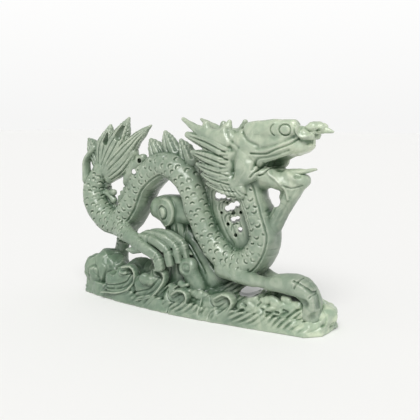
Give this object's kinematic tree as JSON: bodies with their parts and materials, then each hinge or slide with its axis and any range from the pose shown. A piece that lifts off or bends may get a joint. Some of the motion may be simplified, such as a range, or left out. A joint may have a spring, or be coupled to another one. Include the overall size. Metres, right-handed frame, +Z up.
{
  "type": "jade dragon figurine",
  "caption": "Carved green stone dragon with an arched, scaled body, plumed tail and open jaws, standing on a base of curling waves. A solid table ornament.",
  "frame": {"origin": "the underside mount: on the surface that the base rests on, midway across the base and 1.8 mm from the middle of its length, towards the dragon's nose", "axes": "+X along the base towards the dragon's nose, +Y across the base towards the dragon's left side, +Z up"},
  "size_m": [0.2044, 0.048, 0.1344],
  "materials": {
    "jade_dragon": "semi-polished, waxy",
    "jade_waves": "semi-polished, waxy, darker in the recesses"
  },
  "bodies": {
    "root": {"arch_crown": "jade_dragon", "arch_fall": "jade_dragon", "back_crest_1": "jade_waves", "back_crest_2": "jade_waves", "base_slab": "jade_waves", "beard": "jade_dragon", "brow_far": "jade_dragon", "brow_near": "jade_dragon", "cheek_far": "jade_dragon", "cheek_near": "jade_dragon", "chest_bend": "jade_dragon", "cloud_drum": "jade_waves", "cloud_pillar": "jade_waves", "dorsal_fin_1": "jade_dragon", "dorsal_fin_2": "jade_dragon", "dorsal_fin_3": "jade_dragon", "ear_far": "jade_dragon", "ear_near": "jade_dragon", "far_fore_arm": "jade_dragon", "far_fore_paw": "jade_dragon", "far_hind_leg": "jade_dragon", "front_crest_1": "jade_waves", "front_crest_2": "jade_waves", "front_crest_3": "jade_waves", "front_crest_4": "jade_waves", "hind_ridge": "jade_dragon", "hind_trunk": "jade_dragon", "horn_far": "jade_dragon", "horn_near": "jade_dragon", "left_rock": "jade_waves", "lower_jaw": "jade_dragon", "mane_far": "jade_dragon", "mane_near": "jade_dragon", "mid_trunk": "jade_dragon", "middle_swell": "jade_waves", "near_fore_arm": "jade_dragon", "near_fore_paw": "jade_dragon", "near_hind_leg": "jade_dragon", "near_hind_paw": "jade_dragon", "neck_high": "jade_dragon", "neck_low": "jade_dragon", "nose_horn": "jade_dragon", "openwork_web": "jade_dragon", "rear_ridge": "jade_dragon", "right_lump": "jade_waves", "right_swell": "jade_waves", "rump": "jade_dragon", "skull": "jade_dragon", "snout": "jade_dragon", "tail_bend": "jade_dragon", "tail_bridge": "jade_dragon", "tail_loop": "jade_dragon", "tail_plume_1": "jade_dragon", "tail_plume_2": "jade_dragon", "tail_plume_3": "jade_dragon", "tail_plume_4": "jade_dragon", "tail_plume_5": "jade_dragon", "tail_stem": "jade_dragon", "tongue": "jade_dragon", "wave_roll": "jade_waves"}
  },
  "joints": []
}
